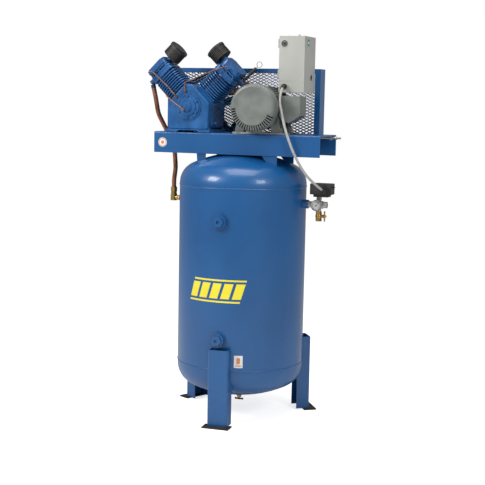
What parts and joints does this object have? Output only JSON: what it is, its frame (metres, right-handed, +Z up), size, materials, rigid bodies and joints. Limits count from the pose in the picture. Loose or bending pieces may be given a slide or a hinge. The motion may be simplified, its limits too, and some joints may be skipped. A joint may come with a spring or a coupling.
{
  "type": "air compressor",
  "caption": "Vertical air receiver on three legs with a belt-driven V pump, electric motor, belt guard and starter box on a deck above it.",
  "frame": {"origin": "on the receiver's axis at floor level, the centre of the anchor-bolt circle", "axes": "+Z up along the receiver; -Y to the front, where the crankcase cover and motor fan face; +X to the viewer's right, the outlet side"},
  "size_m": [0.9339, 0.6881, 1.824],
  "materials": {
    "blue_paint": "gloss enamel over steel",
    "blue_casting": "gloss enamel over cast iron",
    "foot_steel": "dark worn paint",
    "grey_paint": "satin motor enamel",
    "box_paint": "satin light grey powder coat",
    "black_plastic": "moulded",
    "black_rubber": "belt rubber",
    "copper_tube": "copper tube, slightly oxidised",
    "brass": "machined",
    "zinc_steel": "zinc plated",
    "machined_iron": "machined iron",
    "cast_wheel": "dark painted iron",
    "alloy": "machined alloy",
    "dial_white": "white dial in a steel case",
    "cord_grey": "grey jacket",
    "laminations": "laminated steel and copper windings"
  },
  "bodies": {
    "frame": {"tank_shell": "blue_paint", "tank_top_head": "blue_paint", "tank_bottom_head": "blue_paint", "tank_ports": "blue_paint", "inspection_plugs": "blue_paint", "tank_legs": "blue_paint", "foot_plates": "foot_steel", "deck": "blue_paint", "deck_gussets": "blue_paint", "guard_frame": "blue_paint", "guard_screens": "blue_paint", "guard_brackets": "blue_paint", "crankcase": "blue_casting", "bearing_covers": "blue_casting", "crank_bearings": "machined_iron", "oil_fittings": "blue_casting", "cylinder_left": "blue_casting", "cylinder_right": "blue_casting", "valve_plates": "blue_casting", "head_left": "blue_casting", "head_right": "blue_casting", "intake_filters": "black_plastic", "hex_bolts": "blue_casting", "motor_housing": "grey_paint", "motor_end_bells": "grey_paint", "motor_stator": "laminations", "motor_fan_cover": "grey_paint", "motor_conduit_box": "grey_paint", "motor_slide_base": "zinc_steel", "drive_belts": "black_rubber", "belt_adjuster": "zinc_steel", "starter_enclosure": "box_paint", "starter_contactor": "black_plastic", "discharge_tubes": "copper_tube", "tube_fittings": "brass", "unloader_tubes": "copper_tube", "relief_valve": "brass", "manifold": "zinc_steel", "gauge_case": "dial_white", "pressure_switch": "black_plastic", "outlet_valve": "brass", "drain_cock": "brass", "control_cord": "cord_grey", "cord_glands": "black_plastic"},
    "crank": {"crankshaft": "machined_iron", "flywheel": "cast_wheel"},
    "rod_left": {"connecting_rod_left": "alloy"},
    "rod_right": {"connecting_rod_right": "alloy"},
    "piston_left": {"piston_left": "alloy"},
    "piston_right": {"piston_right": "alloy"},
    "motor_spin": {"motor_rotor": "machined_iron", "motor_pulley": "cast_wheel", "motor_fan": "black_plastic"},
    "door": {"starter_door": "box_paint"},
    "reset": {"reset_button": "black_plastic"},
    "relief_ring": {"relief_ring": "zinc_steel"},
    "needle": {"gauge_needle": "black_plastic"},
    "switch_lever": {"switch_lever": "black_plastic"},
    "outlet_handle": {"outlet_handle": "brass"},
    "drain_handle": {"drain_handle": "black_plastic"}
  },
  "joints": [
    {"name": "crank_turn", "type": "hinge", "parent": "frame", "child": "crank", "pos_m": [-0.236, 0, 1.478], "axis": [0, 1, 0], "continuous": true},
    {"name": "rod_left_turn", "type": "hinge", "parent": "crank", "child": "rod_left", "pos_m": [-0.236, -0.044, 1.5], "axis": [0, 1, 0], "continuous": true},
    {"name": "rod_right_turn", "type": "hinge", "parent": "crank", "child": "rod_right", "pos_m": [-0.236, -0.016, 1.5], "axis": [0, 1, 0], "continuous": true},
    {"name": "piston_left_slide", "type": "slide", "parent": "frame", "child": "piston_left", "axis": [-0.7071, 0, 0.7071], "range_m": [-0.03653, 0.00747]},
    {"name": "piston_right_slide", "type": "slide", "parent": "frame", "child": "piston_right", "axis": [0.7071, 0, 0.7071], "range_m": [-0.03653, 0.00747]},
    {"name": "motor_turn", "type": "hinge", "parent": "frame", "child": "motor_spin", "pos_m": [0.108, 0, 1.48], "axis": [0, 1, 0], "continuous": true},
    {"name": "door_swing", "type": "hinge", "parent": "frame", "child": "door", "pos_m": [0.1725, -0.022, 1.71], "axis": [0, 0, 1], "range_deg": [-110, 0]},
    {"name": "reset_push", "type": "slide", "parent": "door", "child": "reset", "axis": [0, 1, 0], "range_m": [0, 0.003], "stiffness_N_per_m": 400},
    {"name": "relief_pull", "type": "slide", "parent": "frame", "child": "relief_ring", "axis": [0.7071, 0, 0.7071], "range_m": [0, 0.004], "stiffness_N_per_m": 800},
    {"name": "needle_turn", "type": "hinge", "parent": "frame", "child": "needle", "pos_m": [0.382, -0.05, 1.032], "axis": [0, 1, 0], "range_deg": [-175, 95]},
    {"name": "lever_throw", "type": "hinge", "parent": "frame", "child": "switch_lever", "pos_m": [0.43, 0, 1.116], "axis": [0, 0, 1], "range_deg": [-12, 12]},
    {"name": "outlet_turn", "type": "hinge", "parent": "frame", "child": "outlet_handle", "pos_m": [0.39, 0, 0.978], "axis": [1, 0, 0], "range_deg": [-90, 0]},
    {"name": "drain_turn", "type": "hinge", "parent": "frame", "child": "drain_handle", "pos_m": [0, 0, 0.06], "axis": [0, 0, 1], "range_deg": [0, 540]}
  ],
  "couplings": [
    {"joint": "motor_turn", "follows": "crank_turn", "ratio": 2.623},
    {"joint": "rod_left_turn", "follows": "crank_turn", "ratio": -1},
    {"joint": "rod_right_turn", "follows": "crank_turn", "ratio": -1}
  ]
}
